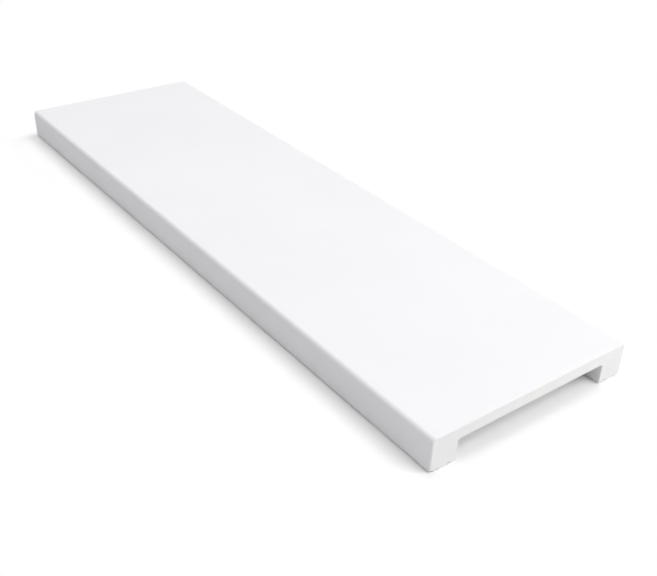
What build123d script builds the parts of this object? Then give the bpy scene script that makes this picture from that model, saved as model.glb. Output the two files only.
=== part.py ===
from build123d import *
import os

# Skirting board, a short sawn length of it, lying face up on the two rails of its back.
# It is one moulded piece: a flat face with a rail behind each long edge, and a wide
# channel between the rails that clears cables and rough plaster.
# X runs along the board, Y up the wall from the floor edge, and Z out of the wall.
# The origin is the middle of the footprint, on the plane of the rails' soles.
# Sizes are in millimetres.

# Driving sizes of the section
board_height = 100.0  # from the floor edge to the upper edge
board_depth = 15.0  # from the rails' soles to the face
face_thickness = 5.7  # between the channel and the face
rail_width = 12.4  # of each rail's sole, outer edge to channel
face_edge_radius = 2.0  # both long edges of the face
channel_corner_radius = 1.0  # where the rails meet the channel's roof
sole_edge_radius = 0.8  # where the soles meet the channel
relief_height = 0.8  # how far the soles' outer edges stand off the wall
relief_width = 2.4  # from each outer edge to where the sole is flat

# Driving sizes of the cut piece
board_length = 350.0  # between the sawn ends
sawn_face_radius = 0.8  # round the face and outer sides of both sawn ends, which were sanded
sawn_back_radius = 0.3  # round their backs, where only the burr was taken off

# Sizes worked out from the driving ones
channel_width = board_height - 2 * rail_width
channel_depth = board_depth - face_thickness


def board_section():
    """The outline across the board: a flat face on two rails, drawn with the soles at Z = 0."""
    on_the_soles = (Align.CENTER, Align.MIN)
    with BuildSketch(Plane.YZ) as section:
        Rectangle(board_height, board_depth, align=on_the_soles)
        Rectangle(channel_width, channel_depth, align=on_the_soles, mode=Mode.SUBTRACT)
        sole_corners, channel_corners, face_corners = section.vertices().group_by(Axis.Y)
        fillet(face_corners, face_edge_radius)
        fillet(channel_corners, channel_corner_radius)
        fillet(sole_corners.sort_by(Axis.X)[1:3], sole_edge_radius)
        relief_wedge(1)
        relief_wedge(-1)
    return section.sketch


def relief_wedge(side):
    """Takes a thin wedge off a sole, from its outer edge inwards. side is 1 for the upper rail, -1 for the other."""
    outer_edge = side * board_height / 2
    Polygon(
        (outer_edge, 0),
        (outer_edge, relief_height),
        (outer_edge - side * relief_width, 0),
        align=None,
        mode=Mode.SUBTRACT,
    )


def skirting_board():
    """The section run along X, with the edges of both sawn ends softened, the face side more than the back."""
    board = extrude(board_section(), amount=board_length / 2, both=True)
    board = fillet(sawn_edges(board).filter_by(is_on_the_face_side), sawn_face_radius)
    return fillet(sawn_edges(board).filter_by(is_on_the_back), sawn_back_radius)


def sawn_edges(board):
    """The edges round the flats of both sawn ends."""
    return board.faces().filter_by(Axis.X).edges()


def is_on_the_back(edge):
    """True for an edge of the reliefs, soles and channel."""
    middle = edge.center()
    return abs(middle.Y) < board_height / 2 - sawn_face_radius - 0.01 and middle.Z < channel_depth + 0.01


def is_on_the_face_side(edge):
    """True for an edge of the face, its two rounded edges and the outer sides."""
    middle = edge.center()
    return abs(middle.Y) > board_height / 2 - 0.01 or middle.Z > board_depth - face_edge_radius


def write_parts():
    """One STEP file for each separate piece."""
    os.makedirs("parts", exist_ok=True)
    board = skirting_board()
    board.label = "skirting_board"
    export_step(board, "parts/skirting_board.step")


write_parts()
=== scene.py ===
import math
import random

import bmesh
import bpy
from bpy.props import FloatProperty, FloatVectorProperty, IntProperty, PointerProperty
from mathutils import Matrix, Vector, noise
from mathutils.geometry import delaunay_2d_cdt


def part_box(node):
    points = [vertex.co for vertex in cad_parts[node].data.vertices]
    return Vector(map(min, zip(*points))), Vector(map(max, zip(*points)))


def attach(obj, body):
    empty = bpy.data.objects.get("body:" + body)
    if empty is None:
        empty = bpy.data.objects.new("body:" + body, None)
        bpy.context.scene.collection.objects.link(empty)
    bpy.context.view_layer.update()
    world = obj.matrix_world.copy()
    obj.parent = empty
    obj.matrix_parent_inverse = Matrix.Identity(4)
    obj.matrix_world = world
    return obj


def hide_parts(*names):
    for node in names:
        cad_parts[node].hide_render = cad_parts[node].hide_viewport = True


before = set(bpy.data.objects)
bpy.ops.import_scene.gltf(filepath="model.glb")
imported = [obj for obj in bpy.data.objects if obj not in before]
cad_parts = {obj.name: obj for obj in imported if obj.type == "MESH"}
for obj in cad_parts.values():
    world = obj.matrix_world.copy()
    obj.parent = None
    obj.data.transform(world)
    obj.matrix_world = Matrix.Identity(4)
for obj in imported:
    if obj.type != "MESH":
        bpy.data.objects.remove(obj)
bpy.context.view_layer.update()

bl_info = {
    "name": "Skirting board",
    "version": (1, 0, 0),
    "blender": (4, 5, 0),
    "location": "3D View > Sidebar > Skirting board",
    "description": "Builds a sawn length of skirting board with its finishes, and a stage to show it on",
    "category": "Add Mesh",
}

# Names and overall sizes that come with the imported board
BOARD_NODE = "skirting_board"
BOARD_PIECE = "skirting_board_dressed"
BOARD_BODY = "root"
BOARD_LOW, BOARD_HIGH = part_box(BOARD_NODE)
BOARD_LENGTH = BOARD_HIGH.x - BOARD_LOW.x
BOARD_HEIGHT = BOARD_HIGH.y - BOARD_LOW.y
BOARD_DEPTH = BOARD_HIGH.z - BOARD_LOW.z

MM = 0.001


# Values that a user would change

class BoardShape(bpy.types.PropertyGroup):
    """Sizes of the section and of the sawn ends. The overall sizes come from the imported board."""

    face_thickness: FloatProperty(
        name="Face thickness",
        description="From the roof of the channel to the face",
        default=5.7 * MM, min=2 * MM, unit="LENGTH", subtype="DISTANCE", precision=4,
    )
    rail_width: FloatProperty(
        name="Rail width",
        description="Of each rail's sole, from the outer edge to the channel",
        default=12.4 * MM, min=3 * MM, unit="LENGTH", subtype="DISTANCE", precision=4,
    )
    face_edge_radius: FloatProperty(
        name="Face edge radius",
        description="Of the softened long edges of the face",
        default=2 * MM, min=0.1 * MM, unit="LENGTH", subtype="DISTANCE", precision=4,
    )
    channel_corner_radius: FloatProperty(
        name="Channel corner radius",
        description="Where the rails meet the roof of the channel",
        default=1 * MM, min=0, unit="LENGTH", subtype="DISTANCE", precision=4,
    )
    sole_edge_radius: FloatProperty(
        name="Sole edge radius",
        description="Of the long edges where the soles meet the channel",
        default=0.8 * MM, min=0.05 * MM, unit="LENGTH", subtype="DISTANCE", precision=4,
    )
    relief_height: FloatProperty(
        name="Relief height",
        description="How far the soles' outer edges stand off the wall",
        default=0.8 * MM, min=0, unit="LENGTH", subtype="DISTANCE", precision=4,
    )
    relief_width: FloatProperty(
        name="Relief width",
        description="From the outer edge to where the sole is flat",
        default=2.4 * MM, min=0.1 * MM, unit="LENGTH", subtype="DISTANCE", precision=4,
    )
    relief_radius: FloatProperty(
        name="Relief edge radius",
        description="Of both edges of the relief",
        default=0.2 * MM, min=0.02 * MM, unit="LENGTH", subtype="DISTANCE", precision=4,
    )
    sawn_face_radius: FloatProperty(
        name="Sawn edge radius, face side",
        description="Round the face and outer sides of both sawn ends, which were sanded",
        default=0.8 * MM, min=0.05 * MM, unit="LENGTH", subtype="DISTANCE", precision=4,
    )
    sawn_back_radius: FloatProperty(
        name="Sawn edge radius, back",
        description="Round the backs of both sawn ends, where only the burr was taken off",
        default=0.3 * MM, min=0.05 * MM, unit="LENGTH", subtype="DISTANCE", precision=4,
    )
    burr: FloatProperty(
        name="Unevenness of the sawn edge",
        description="How far the sawn edge strays from a straight line",
        default=0.04 * MM, min=0, unit="LENGTH", subtype="DISTANCE", precision=5,
    )
    chip_seed: IntProperty(
        name="Chip seed",
        description="Picks where the small chips of the far end lie",
        default=7, min=0,
    )


class BoardFinish(bpy.types.PropertyGroup):
    """Colours and surface values of the moulded skin and of the sawn ends."""

    skin_colour: FloatVectorProperty(
        name="Skin colour",
        description="White of the moulded skin",
        default=(0.857, 0.850, 0.872), min=0, max=1, size=3, subtype="COLOR",
    )
    skin_shade: FloatVectorProperty(
        name="Skin shade",
        description="Slightly deeper white that clouds the skin",
        default=(0.843, 0.837, 0.859), min=0, max=1, size=3, subtype="COLOR",
    )
    sawn_colour: FloatVectorProperty(
        name="Sawn colour",
        description="Warmer white of the bare sawn ends",
        default=(0.875, 0.864, 0.849), min=0, max=1, size=3, subtype="COLOR",
    )
    # Painted shade: this darker white is laid into the pits of the cut cells and stands in for the shade
    # inside those hollows
    painted_pit_shade_colour: FloatVectorProperty(
        name="Sawn shade",
        description="Deeper white inside the cut cells",
        default=(0.780, 0.762, 0.742), min=0, max=1, size=3, subtype="COLOR",
    )
    skin_roughness: FloatProperty(
        name="Skin roughness",
        description="Of the matt moulded skin",
        default=0.80, min=0, max=1, subtype="FACTOR",
    )
    sawn_roughness: FloatProperty(
        name="Sawn roughness",
        description="Of the bare sawn ends",
        default=0.72, min=0, max=1, subtype="FACTOR",
    )
    grain_size: FloatProperty(
        name="Grain size",
        description="Width of the fine dimples in the skin",
        default=0.9 * MM, min=0.1 * MM, unit="LENGTH", subtype="DISTANCE", precision=4,
    )
    cell_size: FloatProperty(
        name="Cell size",
        description="Width of the closed cells that the saw cut open",
        default=0.28 * MM, min=0.05 * MM, unit="LENGTH", subtype="DISTANCE", precision=5,
    )


class BoardStage(bpy.types.PropertyGroup):
    """Floor, lamps and camera."""

    floor_colour: FloatVectorProperty(
        name="Floor colour",
        description="White of the sheet that the board lies on",
        default=(1.0, 1.0, 1.0), min=0, max=1, size=3, subtype="COLOR",
    )
    lamp_level: FloatProperty(
        name="Lamp level",
        description="Scales the power of every lamp. 1 is the light of the photograph",
        default=1.0, min=0,
    )
    camera_azimuth: FloatProperty(
        name="Camera azimuth",
        description="Round the board, 0 looking along +Y and 90 looking along -X",
        default=math.radians(52.654), subtype="ANGLE", unit="ROTATION",
    )
    camera_elevation: FloatProperty(
        name="Camera elevation",
        description="Above the floor",
        default=math.radians(31.948), subtype="ANGLE", unit="ROTATION",
    )
    camera_roll: FloatProperty(
        name="Camera roll",
        description="About the line of sight",
        default=math.radians(1.887), subtype="ANGLE", unit="ROTATION",
    )
    camera_distance: FloatProperty(
        name="Camera distance",
        description="From the point on the floor that it looks at",
        default=410.80 * MM, min=0, unit="LENGTH", subtype="DISTANCE", precision=4,
    )
    camera_target: FloatVectorProperty(
        name="Camera target",
        description="Point on the floor that the camera looks at",
        default=(60.10 * MM, -7.66 * MM, 0), size=3, unit="LENGTH", subtype="XYZ", precision=4,
    )
    camera_lens: FloatProperty(
        name="Camera lens",
        description="Focal length in millimetres on a 36 mm sensor",
        default=50.431, min=1, subtype="NONE",
    )


# Mesh of the board

ARC_STEPS = 8  # in each fillet of the section
SAWN_STEPS = 6  # in the softened edge of a sawn end
SHARPEST = 0.02 * MM  # the least radius that an inset corner keeps
# How many parts each straight side of the section is divided into, from the floor-edge sole round
SIDE_PARTS = (70, 12, 24, 12, 70, 12, 16, 32, 16, 12)
# For each corner of the section: 1 on the face side, 0 on the back
FACE_SIDE = (0, 0, 0, 0, 0, 0, 1, 1, 1, 1)
# Rings of the long sides, by their distance from the softened edge, so that chips have points to move
SIDE_RINGS = tuple(x * MM for x in (5.4, 3.6, 2.6, 2.0, 1.5, 1.1, 0.8, 0.52, 0.3, 0.14))
# Rings of the end face, by their distance in from the softened edge
END_RINGS = tuple(x * MM for x in (0.12, 0.26, 0.42, 0.62, 0.9))
RUBBED_REACH = 1.6 * MM  # how far in from a sawn edge its rubbing shows
SKIN, SAWN = 0, 1  # material slots
NEAR, FAR = 1, -1  # sides of the sawn ends, along X


def section_corners(shape):
    """Corners of the section with their radii, anticlockwise seen from +X."""
    outer = BOARD_HEIGHT / 2
    inner = outer - shape.rail_width
    roof = BOARD_DEPTH - shape.face_thickness
    flat = outer - shape.relief_width
    relief = shape.relief_height
    return (
        (Vector((-flat, 0)), shape.relief_radius),
        (Vector((-inner, 0)), shape.sole_edge_radius),
        (Vector((-inner, roof)), shape.channel_corner_radius),
        (Vector((inner, roof)), shape.channel_corner_radius),
        (Vector((inner, 0)), shape.sole_edge_radius),
        (Vector((flat, 0)), shape.relief_radius),
        (Vector((outer, relief)), shape.relief_radius),
        (Vector((outer, BOARD_DEPTH)), shape.face_edge_radius),
        (Vector((-outer, BOARD_DEPTH)), shape.face_edge_radius),
        (Vector((-outer, relief)), shape.relief_radius),
    )


def corner_arc(before, corner, after, radius, inset):
    """Points round one corner of an outline that is moved in by the inset."""
    arriving = (corner - before).normalized()
    leaving = (after - corner).normalized()
    turn = math.atan2(arriving.cross(leaving), arriving.dot(leaving))
    inwards = Vector((-arriving.y, arriving.x))
    inwards_after = Vector((-leaving.y, leaving.x))
    tip = corner + inset * (inwards + inwards_after) / (1 + inwards.dot(inwards_after))
    if turn > 0:
        arc_radius = max(radius - inset, SHARPEST)
        towards = inwards
    else:
        arc_radius = radius + inset
        towards = -inwards
    centre = tip - arc_radius * math.tan(abs(turn) / 2) * arriving + arc_radius * towards
    spoke = -arc_radius * towards
    return [centre + Matrix.Rotation(turn * step / ARC_STEPS, 2) @ spoke for step in range(ARC_STEPS + 1)]


def section_outline(shape, inset):
    """Points round the section, with as many for every inset, so that rings of them join up."""
    corners = section_corners(shape)
    arcs = []
    for here, (corner, radius) in enumerate(corners):
        before = corners[here - 1][0]
        after = corners[(here + 1) % len(corners)][0]
        arcs.append(corner_arc(before, corner, after, radius, inset))
    points = []
    for here, arc in enumerate(arcs):
        points += arc
        start, end = arc[-1], arcs[(here + 1) % len(arcs)][0]
        parts = SIDE_PARTS[here]
        points += [start.lerp(end, part / parts) for part in range(1, parts)]
    return points


def face_side_shares():
    """For each point of the outline, how far it belongs to the face side."""
    shares = []
    for here, share in enumerate(FACE_SIDE):
        shares += [share] * (ARC_STEPS + 1)
        after = FACE_SIDE[(here + 1) % len(FACE_SIDE)]
        parts = SIDE_PARTS[here]
        shares += [share + (after - share) * part / parts for part in range(1, parts)]
    return shares


def end_rings():
    """Rules for the rings of one sawn end, from the long sides inwards.

    Each rule is two pairs, one for the inset and one for the distance from the end. A pair is
    a share of the softened edge's radius and a length that is added to it.
    """
    rings = [((0, 0), (1, away)) for away in SIDE_RINGS]
    for step in range(SAWN_STEPS + 1):
        angle = math.radians(90) * step / SAWN_STEPS
        rings.append(((1 - math.cos(angle), 0), (1 - math.sin(angle), 0)))
    return rings + [((1, inwards), (0, 0)) for inwards in END_RINGS]


def ring_points(shape, inset_rule, away_rule):
    """Inset, distance from the end, and place in the section of each point of a ring."""
    insets, aways, outlines = [], [], []
    for radius in (shape.sawn_back_radius, shape.sawn_face_radius):
        insets.append(inset_rule[0] * radius + inset_rule[1])
        aways.append(away_rule[0] * radius + away_rule[1])
        outlines.append(section_outline(shape, insets[-1]))
    points = []
    for share, back, face in zip(face_side_shares(), *outlines):
        inset = insets[0] + (insets[1] - insets[0]) * share
        away = aways[0] + (aways[1] - aways[0]) * share
        points.append((inset, away, back.lerp(face, share)))
    return points


CHIP_ROUNDING = 0.6  # power that rounds a chip across its width; less is boxier
CHIP_ROUGHNESS = 0.35  # share by which a chip's broken face is uneven
CHIP_GRAIN = 0.3 * MM  # width of the bumps in it


class Chip:
    """A small piece broken out of the lower edge of a sawn end."""

    def __init__(self, across, width, along, up):
        self.across = across  # place on the Y axis
        self.width = width
        self.along = along  # how far it runs back from the end
        self.up = up  # how far it climbs the end

    def cut(self, away, across, height):
        """How far a point moves back from the end and up, for its distance from the end, Y and Z."""
        offset = abs(across - self.across) / (self.width / 2)
        if offset >= 1:
            return 0.0, 0.0
        fullness = (1 - offset ** 2) ** CHIP_ROUNDING
        along, up = self.along * fullness, self.up * fullness
        missing = 1 - away / along - height / up
        if missing <= 0:
            return 0.0, 0.0
        return missing / 2 * along, missing / 2 * up


# The chips that the near end has, from the floor-edge rail to the upper one
NEAR_CHIPS = (
    Chip(across=-46.4 * MM, width=1.4 * MM, along=1.7 * MM, up=0.75 * MM),
    Chip(across=-41.2 * MM, width=1.1 * MM, along=2.4 * MM, up=1.0 * MM),
    Chip(across=40.9 * MM, width=1.7 * MM, along=2.8 * MM, up=1.1 * MM),
    Chip(across=45.2 * MM, width=7.6 * MM, along=1.3 * MM, up=0.35 * MM),
)
# The chips of the far end, by the least and the most of each size
FAR_CHIP_COUNT = 4
FAR_CHIP_PLACE = (0.15, 0.85)  # share of the rail's width, in from the outer edge
FAR_CHIP_WIDTH = (0.8, 1.6)  # millimetres, as the next two
FAR_CHIP_ALONG = (0.3, 0.8)
FAR_CHIP_UP = (0.25, 0.5)


def far_chips(shape):
    """Chips for the far end, put by the seed on either rail."""
    chance = random.Random(shape.chip_seed)
    chips = []
    for _ in range(FAR_CHIP_COUNT):
        rail = chance.choice((-1, 1))
        place = BOARD_HEIGHT / 2 - chance.uniform(*FAR_CHIP_PLACE) * shape.rail_width
        chips.append(Chip(
            across=rail * place,
            width=chance.uniform(*FAR_CHIP_WIDTH) * MM,
            along=chance.uniform(*FAR_CHIP_ALONG) * MM,
            up=chance.uniform(*FAR_CHIP_UP) * MM,
        ))
    return chips


BURR_REACH = 0.7 * MM  # the unevenness fades out this far from the sawn edge
BURR_PITCH = 1.3 * MM  # from one bump of the unevenness to the next
BURR_APART = 10  # how far to each side the two ends are read from the noise, so that they differ


def sawn_point(shape, side, chips, inset, away, across, height):
    """A point near a sawn end, NEAR or FAR, after the saw's unevenness and the chips."""
    distance = max(inset, away)
    fade = max(0.0, 1 - distance / BURR_REACH)
    where = Vector((side * BURR_APART, across / BURR_PITCH, height / BURR_PITCH))
    away += shape.burr * fade * (0.5 + 0.5 * noise.noise(where))
    for chip in chips:
        back, up = chip.cut(away, across, height)
        rough = 1 + CHIP_ROUGHNESS * noise.noise(Vector((away, across, height)) / CHIP_GRAIN)
        away += back * rough
        height += up * rough
    return Vector((side * (BOARD_LENGTH / 2 - away), across, height))


def join_rings(mesh, before, after, material):
    """A band of faces between two rings of vertices."""
    count = len(before)
    for here in range(count):
        beside = (here + 1) % count
        face = mesh.faces.new((before[here], before[beside], after[beside], after[here]))
        face.smooth = True
        face.material_index = material


FILL_PITCH = 1.4 * MM  # between the points inside the flat of a sawn end
FILL_MARGIN = 0.7 * MM  # that they keep from the outline at their inset
INSIDE_ONLY = 1  # makes the triangulation leave out what lies beyond the outline
FILL_TOLERANCE = 1e-6


def inner_points(shape, inset):
    """Staggered points inside the section, clear of the outline at that inset."""
    outer = BOARD_HEIGHT / 2 - inset - FILL_MARGIN
    inner = BOARD_HEIGHT / 2 - shape.rail_width + inset + FILL_MARGIN
    roof = BOARD_DEPTH - shape.face_thickness + inset + FILL_MARGIN
    bottom = inset + FILL_MARGIN
    top = BOARD_DEPTH - inset - FILL_MARGIN
    rows = math.floor((top - bottom) / FILL_PITCH) + 1
    columns = math.floor(2 * outer / FILL_PITCH) + 1
    points = []
    for row in range(rows):
        height = bottom + (top - bottom) * row / (rows - 1)
        shift = 0.5 * (row % 2)
        for column in range(columns):
            across = -outer + 2 * outer * (column + shift) / (columns - 1)
            if across <= outer and (abs(across) >= inner or height >= roof):
                points.append(Vector((across, height)))
    return points


def fill_ring(mesh, ring, points, material):
    """Even, flat triangles over the inside of a ring of vertices, with those points among their corners."""
    end = ring[0].co.x
    outline = [Vector((vertex.co.y, vertex.co.z)) / MM for vertex in ring]
    inside = [point / MM for point in points]
    places, _, triangles, _, _, sources = delaunay_2d_cdt(
        outline + inside, [], [list(range(len(ring)))], INSIDE_ONLY, FILL_TOLERANCE, True,
    )
    vertices = list(ring)
    for place in places[len(ring):]:
        vertices.append(mesh.verts.new((end, place.x * MM, place.y * MM)))
    for corners, source in zip(triangles, sources):
        if not source:
            continue
        face = mesh.faces.new([vertices[corner] for corner in corners])
        face.smooth = False
        face.material_index = material


def add_end_rings(mesh, shape, side, chips, rubbed):
    """The rings of one sawn end, from the long sides inwards, each with the inset of its last point."""
    made = []
    for inset_rule, away_rule in end_rings():
        ring = []
        for inset, away, point in ring_points(shape, inset_rule, away_rule):
            vertex = mesh.verts.new(sawn_point(shape, side, chips, inset, away, point.x, point.y))
            vertex[rubbed] = max(0.0, 1 - max(inset, away) / RUBBED_REACH)
            ring.append(vertex)
        made.append((inset, ring))
    return made


def board_mesh(shape):
    """The whole board as one closed mesh."""
    mesh = bmesh.new()
    rubbed = mesh.verts.layers.float.new("rubbed_edge")
    near_rings = add_end_rings(mesh, shape, NEAR, NEAR_CHIPS, rubbed)
    far_rings = add_end_rings(mesh, shape, FAR, far_chips(shape), rubbed)
    join_rings(mesh, far_rings[0][1], near_rings[0][1], SKIN)
    for rings in (near_rings, far_rings):
        for (outer_inset, outer), (_, inner) in zip(rings, rings[1:]):
            join_rings(mesh, outer, inner, SAWN if outer_inset > 0 else SKIN)
        last_inset, last_ring = rings[-1]
        fill_ring(mesh, last_ring, inner_points(shape, last_inset), SAWN)
    bmesh.ops.recalc_face_normals(mesh, faces=mesh.faces)
    data = bpy.data.meshes.new(BOARD_PIECE)
    mesh.to_mesh(data)
    mesh.free()
    return data


# Shader nodes

def add_node(tree, kind, place, **settings):
    """A new node of that kind at that place in the tree, with its settings."""
    node = tree.nodes.new(kind)
    node.location = place
    for name, value in settings.items():
        setattr(node, name, value)
    return node


def set_inputs(node, **values):
    """Sets a node's inputs by name, with _ for each space."""
    for name, value in values.items():
        node.inputs[name.replace("_", " ")].default_value = value


def new_group(name, inputs, outputs):
    """A node group with those sockets, and its input and output nodes."""
    group = bpy.data.node_groups.new(name, "ShaderNodeTree")
    for label, kind, default in inputs:
        socket = group.interface.new_socket(label, in_out="INPUT", socket_type=kind)
        if default is not None:
            socket.default_value = default
    for label, kind in outputs:
        group.interface.new_socket(label, in_out="OUTPUT", socket_type=kind)
    entry = add_node(group, "NodeGroupInput", (-900, 0))
    exit_node = add_node(group, "NodeGroupOutput", (700, 0))
    return group, entry, exit_node


def cloudy_tone_group():
    """Drifts a colour towards a second one in soft clouds."""
    group, entry, leave = new_group(
        "Cloudy tone",
        (
            ("Vector", "NodeSocketVector", None),
            ("Colour", "NodeSocketColor", (0.9, 0.9, 0.9, 1)),
            ("Shade", "NodeSocketColor", (0.85, 0.85, 0.85, 1)),
            ("Clouds per metre", "NodeSocketFloat", 20.0),
            ("Amount", "NodeSocketFloat", 1.0),
        ),
        (("Colour", "NodeSocketColor"),),
    )
    clouds = add_node(group, "ShaderNodeTexNoise", (-600, 0))
    set_inputs(clouds, Detail=3.0, Roughness=0.55)
    spread = add_node(group, "ShaderNodeMapRange", (-350, 0))
    set_inputs(spread, From_Min=0.35, From_Max=0.65)
    scaled = add_node(group, "ShaderNodeMath", (-100, 0), operation="MULTIPLY")
    mix = add_node(group, "ShaderNodeMix", (200, 0), data_type="RGBA")
    link = group.links.new
    link(entry.outputs["Vector"], clouds.inputs["Vector"])
    link(entry.outputs["Clouds per metre"], clouds.inputs["Scale"])
    link(clouds.outputs["Fac"], spread.inputs["Value"])
    link(spread.outputs["Result"], scaled.inputs[0])
    link(entry.outputs["Amount"], scaled.inputs[1])
    link(scaled.outputs["Value"], mix.inputs["Factor"])
    link(entry.outputs["Colour"], mix.inputs["A"])
    link(entry.outputs["Shade"], mix.inputs["B"])
    link(mix.outputs["Result"], leave.inputs["Colour"])
    return group


def fine_grain_group():
    """Fine dimples: a height for the bump and a roughness that varies with it."""
    group, entry, leave = new_group(
        "Fine grain",
        (
            ("Vector", "NodeSocketVector", None),
            ("Grains per metre", "NodeSocketFloat", 1000.0),
            ("Detail", "NodeSocketFloat", 2.0),
            ("Least roughness", "NodeSocketFloat", 0.4),
            ("Most roughness", "NodeSocketFloat", 0.5),
        ),
        (("Height", "NodeSocketFloat"), ("Roughness", "NodeSocketFloat")),
    )
    grain = add_node(group, "ShaderNodeTexNoise", (-600, 0))
    set_inputs(grain, Roughness=0.6)
    spread = add_node(group, "ShaderNodeMapRange", (-200, -150))
    set_inputs(spread, From_Min=0.3, From_Max=0.7)
    link = group.links.new
    link(entry.outputs["Vector"], grain.inputs["Vector"])
    link(entry.outputs["Grains per metre"], grain.inputs["Scale"])
    link(entry.outputs["Detail"], grain.inputs["Detail"])
    link(grain.outputs["Fac"], spread.inputs["Value"])
    link(entry.outputs["Least roughness"], spread.inputs["To Min"])
    link(entry.outputs["Most roughness"], spread.inputs["To Max"])
    link(grain.outputs["Fac"], leave.inputs["Height"])
    link(spread.outputs["Result"], leave.inputs["Roughness"])
    return group


def rubbed_edge_group():
    """A mask along the sawn edges, broken up as handling leaves it."""
    group, entry, leave = new_group(
        "Rubbed edge",
        (
            ("Vector", "NodeSocketVector", None),
            ("Breaks per metre", "NodeSocketFloat", 500.0),
            ("Reach", "NodeSocketFloat", 0.5),
        ),
        (("Mask", "NodeSocketFloat"),),
    )
    near = add_node(group, "ShaderNodeAttribute", (-600, 200), attribute_name="rubbed_edge")
    breaks = add_node(group, "ShaderNodeTexNoise", (-600, -50))
    set_inputs(breaks, Detail=4.0, Roughness=0.65)
    lower = add_node(group, "ShaderNodeMath", (-350, 0), operation="SUBTRACT")
    lower.inputs[1].default_value = 0.5
    uneven = add_node(group, "ShaderNodeMath", (-100, 100), operation="ADD")
    mask = add_node(group, "ShaderNodeMapRange", (200, 100), interpolation_type="SMOOTHSTEP")
    start = add_node(group, "ShaderNodeMath", (-100, -120), operation="SUBTRACT")
    start.inputs[0].default_value = 1.0
    link = group.links.new
    link(entry.outputs["Vector"], breaks.inputs["Vector"])
    link(entry.outputs["Breaks per metre"], breaks.inputs["Scale"])
    link(breaks.outputs["Fac"], lower.inputs[0])
    link(near.outputs["Fac"], uneven.inputs[0])
    link(lower.outputs["Value"], uneven.inputs[1])
    link(entry.outputs["Reach"], start.inputs[1])
    link(uneven.outputs["Value"], mask.inputs["Value"])
    link(start.outputs["Value"], mask.inputs["From Min"])
    mask.inputs["From Max"].default_value = 1.1
    link(mask.outputs["Result"], leave.inputs["Mask"])
    return group


def place_group(tree, group, place, **values):
    """One use of a node group in a material, with its own values."""
    node = add_node(tree, "ShaderNodeGroup", place, node_tree=group)
    set_inputs(node, **values)
    return node


def new_material(name):
    """An empty node material with a Principled shader joined to its output."""
    material = bpy.data.materials.new(name)
    material.use_nodes = True
    tree = material.node_tree
    tree.nodes.clear()
    shader = add_node(tree, "ShaderNodeBsdfPrincipled", (700, 0))
    surface = add_node(tree, "ShaderNodeOutputMaterial", (1000, 0))
    tree.links.new(shader.outputs["BSDF"], surface.inputs["Surface"])
    return material, tree, shader


def opaque(colour):
    """A colour with full alpha, for a socket."""
    return (*colour, 1.0)


PLASTIC_IOR = 1.5
RUB_BREAKS = 600.0  # per metre, where a rubbed edge is broken up
ROUGHNESS_DRIFT = 0.05  # either side of the skin's roughness
SKIN_CLOUDS = 22.0  # per metre
SKIN_RUB = 0.35  # how much of the rubbed reach shows on the skin
DRAWN_LINES = (2.0, 420.0, 420.0)  # per metre, along and across the board
DRAWN_DEPTH = 0.004 * MM
DIMPLE_DEPTH = 0.006 * MM


def skin_material(finish, groups):
    """Matt moulded skin: faintly clouded white, fine dimples and the drawing lines of its length."""
    material, tree, shader = new_material("moulded_skin")
    link = tree.links.new
    place = add_node(tree, "ShaderNodeTexCoord", (-1100, 0))
    tone = place_group(
        tree, groups["tone"], (-500, 250),
        Colour=opaque(finish.skin_colour), Shade=opaque(finish.skin_shade),
        Clouds_per_metre=SKIN_CLOUDS, Amount=1.0,
    )
    grain = place_group(
        tree, groups["grain"], (-500, -50),
        Grains_per_metre=1 / finish.grain_size, Detail=2.0,
        Least_roughness=finish.skin_roughness - ROUGHNESS_DRIFT,
        Most_roughness=finish.skin_roughness + ROUGHNESS_DRIFT,
    )
    rubbed = place_group(tree, groups["rubbed"], (-500, -350), Breaks_per_metre=RUB_BREAKS, Reach=SKIN_RUB)
    stretched = add_node(tree, "ShaderNodeMapping", (-800, -600))
    stretched.inputs["Scale"].default_value = DRAWN_LINES
    lines = add_node(tree, "ShaderNodeTexNoise", (-500, -600))
    set_inputs(lines, Scale=1.0, Detail=2.0, Roughness=0.5)
    worn_colour = add_node(tree, "ShaderNodeMix", (200, 250), data_type="RGBA")
    worn_colour.inputs["B"].default_value = opaque(finish.sawn_colour)
    worn_roughness = add_node(tree, "ShaderNodeMix", (200, 0), data_type="FLOAT")
    worn_roughness.inputs["B"].default_value = finish.sawn_roughness
    drawn = add_node(tree, "ShaderNodeBump", (200, -500))
    set_inputs(drawn, Strength=1.0, Distance=DRAWN_DEPTH)
    dimpled = add_node(tree, "ShaderNodeBump", (450, -300))
    set_inputs(dimpled, Strength=1.0, Distance=DIMPLE_DEPTH)
    for node in (tone, grain, rubbed, stretched):
        link(place.outputs["Object"], node.inputs["Vector"])
    link(stretched.outputs["Vector"], lines.inputs["Vector"])
    link(tone.outputs["Colour"], worn_colour.inputs["A"])
    link(rubbed.outputs["Mask"], worn_colour.inputs["Factor"])
    link(grain.outputs["Roughness"], worn_roughness.inputs["A"])
    link(rubbed.outputs["Mask"], worn_roughness.inputs["Factor"])
    link(lines.outputs["Fac"], drawn.inputs["Height"])
    link(grain.outputs["Height"], dimpled.inputs["Height"])
    link(drawn.outputs["Normal"], dimpled.inputs["Normal"])
    link(worn_colour.outputs["Result"], shader.inputs["Base Color"])
    link(worn_roughness.outputs["Result"], shader.inputs["Roughness"])
    link(dimpled.outputs["Normal"], shader.inputs["Normal"])
    set_inputs(shader, IOR=PLASTIC_IOR)
    return material


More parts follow.
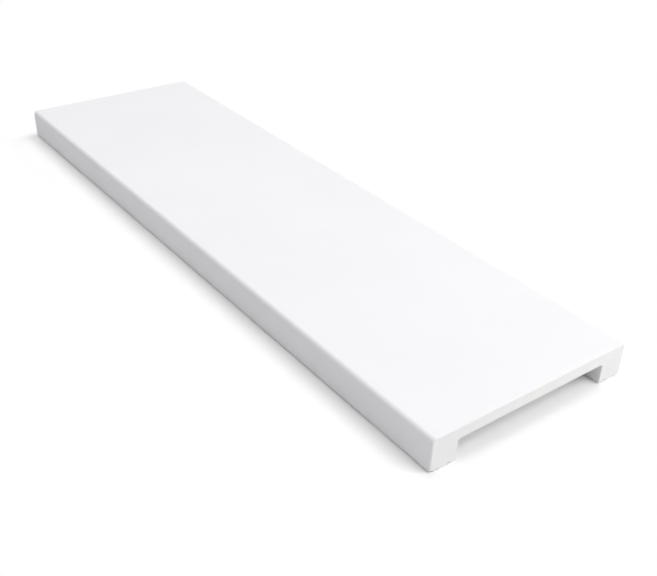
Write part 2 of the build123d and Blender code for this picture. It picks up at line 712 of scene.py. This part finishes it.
SAW_RADIUS = 125 * MM  # of the blade whose arcs cross the sawn ends. Its centre is so far below the soles
SAW_OFF_MIDDLE = 20 * MM  # from the middle of the board to the blade's centre, towards the floor edge
SAW_PITCH = 10.053 * MM  # from one arc to the next
SAW_DEPTH = 0.012 * MM
WAVE_LENGTH = 2 * math.pi / 20  # of the wave texture at a scale of 1
SAWN_CLOUDS = 140.0  # per metre
SAWN_CLOUD_AMOUNT = 0.8
SAWN_DRIFT = 0.08  # either side of the sawn roughness
SAWN_RUB = 0.55  # how much of the rubbed reach shows on the end
GRAINS_IN_CELL = 0.5  # across the width of a cell
GRAIN_DEPTH = 0.02 * MM
PIT_DEPTH = 0.03 * MM
PAINTED_PIT_SHADE = 0.28  # how far a pit is darkened towards its painted shade, which stands in for the shade inside the hollow cell


def sawn_material(finish, groups):
    """Bare sawn end: fine cut cells with painted shade in their pits, faint arcs left by the blade, and a
    rubbed rim.
    """
    material, tree, shader = new_material("sawn_end")
    link = tree.links.new
    place = add_node(tree, "ShaderNodeTexCoord", (-1400, 0))
    tone = place_group(
        tree, groups["tone"], (-500, 250),
        Colour=opaque(finish.sawn_colour), Shade=opaque(finish.skin_shade),
        Clouds_per_metre=SAWN_CLOUDS, Amount=SAWN_CLOUD_AMOUNT,
    )
    grain = place_group(
        tree, groups["grain"], (-500, 0),
        Grains_per_metre=GRAINS_IN_CELL / finish.cell_size, Detail=4.0,
        Least_roughness=finish.sawn_roughness - SAWN_DRIFT,
        Most_roughness=finish.sawn_roughness + SAWN_DRIFT,
    )
    rubbed = place_group(tree, groups["rubbed"], (-500, -250), Breaks_per_metre=RUB_BREAKS, Reach=SAWN_RUB)
    cells = add_node(tree, "ShaderNodeTexVoronoi", (-800, -500))
    set_inputs(cells, Scale=1 / finish.cell_size, Randomness=0.9)
    pits = add_node(tree, "ShaderNodeMapRange", (-500, -500))
    set_inputs(pits, From_Min=0.05, From_Max=0.55, To_Min=1.0, To_Max=0.0)
    smeared = add_node(tree, "ShaderNodeMath", (-250, -450), operation="MULTIPLY_ADD")
    smeared.inputs[1].default_value = -1.0
    smeared.inputs[2].default_value = 1.0
    open_pits = add_node(tree, "ShaderNodeMath", (0, -450), operation="MULTIPLY")
    # Painted shade: the open pits are darkened towards the pit shade colour, standing in for the shade
    # inside the hollow cells
    pit_shade_amount = add_node(tree, "ShaderNodeMath", (200, -350), operation="MULTIPLY")
    pit_shade_amount.inputs[1].default_value = PAINTED_PIT_SHADE
    pit_shaded_colour = add_node(tree, "ShaderNodeMix", (350, 250), data_type="RGBA")
    pit_shaded_colour.inputs["B"].default_value = opaque(finish.painted_pit_shade_colour)
    blade = add_node(tree, "ShaderNodeMapping", (-1100, -900))
    blade.inputs["Location"].default_value = (0, SAW_OFF_MIDDLE, SAW_RADIUS)
    arcs = add_node(tree, "ShaderNodeTexWave", (-800, -900), wave_type="RINGS", rings_direction="X")
    set_inputs(arcs, Scale=WAVE_LENGTH / SAW_PITCH, Distortion=1.5, Detail=3.0, Detail_Scale=40.0)
    cut = add_node(tree, "ShaderNodeBump", (0, -800))
    set_inputs(cut, Strength=1.0, Distance=SAW_DEPTH)
    grained = add_node(tree, "ShaderNodeBump", (250, -700))
    set_inputs(grained, Strength=1.0, Distance=GRAIN_DEPTH)
    sunk = add_node(tree, "ShaderNodeBump", (480, -500), invert=True)
    set_inputs(sunk, Strength=1.0, Distance=PIT_DEPTH)
    for node in (tone, grain, rubbed, cells, blade):
        link(place.outputs["Object"], node.inputs["Vector"])
    link(blade.outputs["Vector"], arcs.inputs["Vector"])
    link(cells.outputs["Distance"], pits.inputs["Value"])
    link(rubbed.outputs["Mask"], smeared.inputs[0])
    link(pits.outputs["Result"], open_pits.inputs[0])
    link(smeared.outputs["Value"], open_pits.inputs[1])
    link(open_pits.outputs["Value"], pit_shade_amount.inputs[0])
    link(pit_shade_amount.outputs["Value"], pit_shaded_colour.inputs["Factor"])
    link(tone.outputs["Colour"], pit_shaded_colour.inputs["A"])
    link(arcs.outputs["Fac"], cut.inputs["Height"])
    link(grain.outputs["Height"], grained.inputs["Height"])
    link(cut.outputs["Normal"], grained.inputs["Normal"])
    link(open_pits.outputs["Value"], sunk.inputs["Height"])
    link(grained.outputs["Normal"], sunk.inputs["Normal"])
    link(pit_shaded_colour.outputs["Result"], shader.inputs["Base Color"])
    link(grain.outputs["Roughness"], shader.inputs["Roughness"])
    link(sunk.outputs["Normal"], shader.inputs["Normal"])
    set_inputs(shader, IOR=PLASTIC_IOR)
    return material


# Stage

FLOOR_SIDE = 8.0
BOUNCE_SHARE = 0.9  # of the floor's white, for the light that it throws back
PLAIN_FROM = 4 * MM  # from the board's sides, where the floor starts to turn into plain white
PLAIN_BY = 26 * MM  # from the board's sides, where it is plain white
END_FADE = 5  # times sooner beyond the ends, where the shadow is short


def seen_directly(tree, place):
    """A mask that is 1 for camera, glossy and transmitted rays, and 0 for the light that spreads."""
    path = add_node(tree, "ShaderNodeLightPath", place)
    either = add_node(tree, "ShaderNodeMath", (place[0] + 200, place[1]), operation="MAXIMUM")
    any_of = add_node(tree, "ShaderNodeMath", (place[0] + 400, place[1]), operation="MAXIMUM")
    tree.links.new(path.outputs["Is Camera Ray"], either.inputs[0])
    tree.links.new(path.outputs["Is Glossy Ray"], either.inputs[1])
    tree.links.new(either.outputs["Value"], any_of.inputs[0])
    tree.links.new(path.outputs["Is Transmission Ray"], any_of.inputs[1])
    return any_of.outputs["Value"]


def floor_material(stage):
    """White sheet that keeps the board's shadow, and turns into plain white further out."""
    material = bpy.data.materials.new("white_sheet")
    material.use_nodes = True
    tree = material.node_tree
    tree.nodes.clear()
    link = tree.links.new
    seen = seen_directly(tree, (-900, 400))
    place = add_node(tree, "ShaderNodeTexCoord", (-1500, -200))
    size = add_node(tree, "ShaderNodeVectorMath", (-1300, -200), operation="ABSOLUTE")
    beyond = add_node(tree, "ShaderNodeVectorMath", (-1100, -200), operation="SUBTRACT")
    beyond.inputs[1].default_value = (BOARD_LENGTH / 2, BOARD_HEIGHT / 2, 0)
    outside = add_node(tree, "ShaderNodeVectorMath", (-900, -200), operation="MAXIMUM")
    weighted = add_node(tree, "ShaderNodeVectorMath", (-800, -200), operation="MULTIPLY")
    weighted.inputs[1].default_value = (END_FADE, 1, 1)
    distance = add_node(tree, "ShaderNodeVectorMath", (-650, -200), operation="LENGTH")
    fade = add_node(tree, "ShaderNodeMapRange", (-500, -200), interpolation_type="SMOOTHSTEP")
    set_inputs(fade, From_Min=PLAIN_FROM, From_Max=PLAIN_BY)
    plain = add_node(tree, "ShaderNodeMath", (-250, 0), operation="MULTIPLY")
    sheet = add_node(tree, "ShaderNodeMix", (-250, 300), data_type="RGBA")
    sheet.inputs["A"].default_value = opaque([BOUNCE_SHARE * part for part in stage.floor_colour])
    sheet.inputs["B"].default_value = opaque(stage.floor_colour)
    matt = add_node(tree, "ShaderNodeBsdfDiffuse", (0, 200))
    white = add_node(tree, "ShaderNodeEmission", (0, 0))
    set_inputs(white, Color=(1, 1, 1, 1), Strength=1.0)
    mix = add_node(tree, "ShaderNodeMixShader", (250, 100))
    surface = add_node(tree, "ShaderNodeOutputMaterial", (500, 100))
    link(place.outputs["Object"], size.inputs[0])
    link(size.outputs["Vector"], beyond.inputs[0])
    link(beyond.outputs["Vector"], outside.inputs[0])
    link(outside.outputs["Vector"], weighted.inputs[0])
    link(weighted.outputs["Vector"], distance.inputs[0])
    link(distance.outputs["Value"], fade.inputs["Value"])
    link(fade.outputs["Result"], plain.inputs[0])
    link(seen, plain.inputs[1])
    link(seen, sheet.inputs["Factor"])
    link(sheet.outputs["Result"], matt.inputs["Color"])
    link(plain.outputs["Value"], mix.inputs["Fac"])
    link(matt.outputs["BSDF"], mix.inputs[1])
    link(white.outputs["Emission"], mix.inputs[2])
    link(mix.outputs["Shader"], surface.inputs["Surface"])
    return material


def add_floor(stage):
    """The floor as one large face."""
    half = FLOOR_SIDE / 2
    data = bpy.data.meshes.new("floor")
    corners = [(-half, -half, 0), (half, -half, 0), (half, half, 0), (-half, half, 0)]
    data.from_pydata(corners, [], [(0, 1, 2, 3)])
    floor = bpy.data.objects.new("floor", data)
    bpy.context.scene.collection.objects.link(floor)
    data.materials.append(floor_material(stage))


def set_world():
    """Plain white where it is seen, reflections included, and no light for matt surfaces."""
    world = bpy.data.worlds.new("white_surround")
    world.use_nodes = True
    tree = world.node_tree
    tree.nodes.clear()
    background = add_node(tree, "ShaderNodeBackground", (250, 0))
    background.inputs["Color"].default_value = (1, 1, 1, 1)
    surface = add_node(tree, "ShaderNodeOutputWorld", (500, 0))
    tree.links.new(seen_directly(tree, (-500, 0)), background.inputs["Strength"])
    tree.links.new(background.outputs["Background"], surface.inputs["Surface"])
    bpy.context.scene.world = world


LAMP_SIDE = 500 * MM
LAMP_DISTANCE = 1.0  # from the middle of the board's back
# Square softboxes that face the board: name, degrees round from +X, degrees down from overhead, watts
LAMPS = (
    ("top_softbox", 0, 0, 1.86),
    ("key_softbox", 22.5, 45, 3.70),
    ("high_back_softbox", 120, 27, 2.30),
    ("high_left_softbox", 300, 27, 1.42),
    ("far_softbox", 180, 50, 2.22),
    ("front_left_softbox", 315, 50, 1.17),
    ("low_right_softbox", 45, 72, 2.76),
    ("low_left_softbox", 225, 72, 0.84),
)


def add_lamps(stage):
    """Softboxes all round the board, each facing its middle."""
    for name, round_degrees, down_degrees, watts in LAMPS:
        data = bpy.data.lights.new(name, "AREA")
        data.shape = "SQUARE"
        data.size = LAMP_SIDE
        data.energy = watts * stage.lamp_level
        lamp = bpy.data.objects.new(name, data)
        around, down = math.radians(round_degrees), math.radians(down_degrees)
        outwards = Vector((
            math.sin(down) * math.cos(around),
            math.sin(down) * math.sin(around),
            math.cos(down),
        ))
        facing = (-outwards).to_track_quat("-Z", "Y").to_matrix().to_4x4()
        lamp.matrix_world = Matrix.Translation(outwards * LAMP_DISTANCE) @ facing
        bpy.context.scene.collection.objects.link(lamp)


SENSOR_WIDTH = 36.0  # millimetres
CLIP_START, CLIP_END = 0.01, 50.0


def add_camera(stage):
    """The photograph's camera, set by where it looks and from what direction."""
    data = bpy.data.cameras.new("camera")
    data.lens = stage.camera_lens
    data.sensor_width = SENSOR_WIDTH
    data.clip_start = CLIP_START
    data.clip_end = CLIP_END
    camera = bpy.data.objects.new("camera", data)
    azimuth, elevation = stage.camera_azimuth, stage.camera_elevation
    back = Vector((
        math.sin(azimuth) * math.cos(elevation),
        -math.cos(azimuth) * math.cos(elevation),
        math.sin(elevation),
    ))
    facing = (-back).to_track_quat("-Z", "Y").to_matrix().to_4x4()
    roll = Matrix.Rotation(stage.camera_roll, 4, "Z")
    place = Matrix.Translation(Vector(stage.camera_target) + back * stage.camera_distance)
    camera.matrix_world = place @ facing @ roll
    bpy.context.scene.collection.objects.link(camera)
    bpy.context.scene.camera = camera


# Operators and panel

LARGE_FACES_LEAD = 100  # weight that evens the normals of the flats


class MESH_OT_skirting_board(bpy.types.Operator):
    """Build the skirting board with its moulded skin and sawn ends"""

    bl_idname = "mesh.skirting_board"
    bl_label = "Skirting board"
    bl_options = {"REGISTER", "UNDO"}

    def execute(self, context):
        shape = context.scene.board_shape
        finish = context.scene.board_finish
        groups = {"tone": cloudy_tone_group(), "grain": fine_grain_group(), "rubbed": rubbed_edge_group()}
        data = board_mesh(shape)
        data.materials.append(skin_material(finish, groups))
        data.materials.append(sawn_material(finish, groups))
        board = bpy.data.objects.new(BOARD_PIECE, data)
        context.scene.collection.objects.link(board)
        even = board.modifiers.new("even_normals", "WEIGHTED_NORMAL")
        even.weight = LARGE_FACES_LEAD
        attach(board, BOARD_BODY)
        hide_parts(BOARD_NODE)
        return {"FINISHED"}


class SCENE_OT_skirting_board_stage(bpy.types.Operator):
    """Add the floor, lamps, surround and camera"""

    bl_idname = "scene.skirting_board_stage"
    bl_label = "Stage"
    bl_options = {"REGISTER", "UNDO"}

    def execute(self, context):
        stage = context.scene.board_stage
        add_floor(stage)
        set_world()
        add_lamps(stage)
        add_camera(stage)
        context.scene.view_settings.view_transform = "Standard"
        return {"FINISHED"}


class VIEW3D_PT_skirting_board(bpy.types.Panel):
    """Lists the pieces and the values behind them"""

    bl_idname = "VIEW3D_PT_skirting_board"
    bl_label = "Skirting board"
    bl_space_type = "VIEW_3D"
    bl_region_type = "UI"
    bl_category = "Skirting board"

    def draw(self, context):
        column = self.layout.column()
        for group in (context.scene.board_shape, context.scene.board_finish):
            for name in group.__annotations__:
                column.prop(group, name)
        column.operator(MESH_OT_skirting_board.bl_idname)
        for name in context.scene.board_stage.__annotations__:
            column.prop(context.scene.board_stage, name)
        column.operator(SCENE_OT_skirting_board_stage.bl_idname)


CLASSES = (
    BoardShape,
    BoardFinish,
    BoardStage,
    MESH_OT_skirting_board,
    SCENE_OT_skirting_board_stage,
    VIEW3D_PT_skirting_board,
)


def register():
    """Registers the classes and hangs the values on the scene."""
    for cls in CLASSES:
        bpy.utils.register_class(cls)
    bpy.types.Scene.board_shape = PointerProperty(type=BoardShape)
    bpy.types.Scene.board_finish = PointerProperty(type=BoardFinish)
    bpy.types.Scene.board_stage = PointerProperty(type=BoardStage)


def unregister():
    """Takes the values and the classes away again."""
    del bpy.types.Scene.board_stage
    del bpy.types.Scene.board_finish
    del bpy.types.Scene.board_shape
    for cls in reversed(CLASSES):
        bpy.utils.unregister_class(cls)


def main():
    """Builds the board and its stage."""
    register()
    bpy.ops.mesh.skirting_board()
    bpy.ops.scene.skirting_board_stage()


if __name__ == "__main__":
    main()
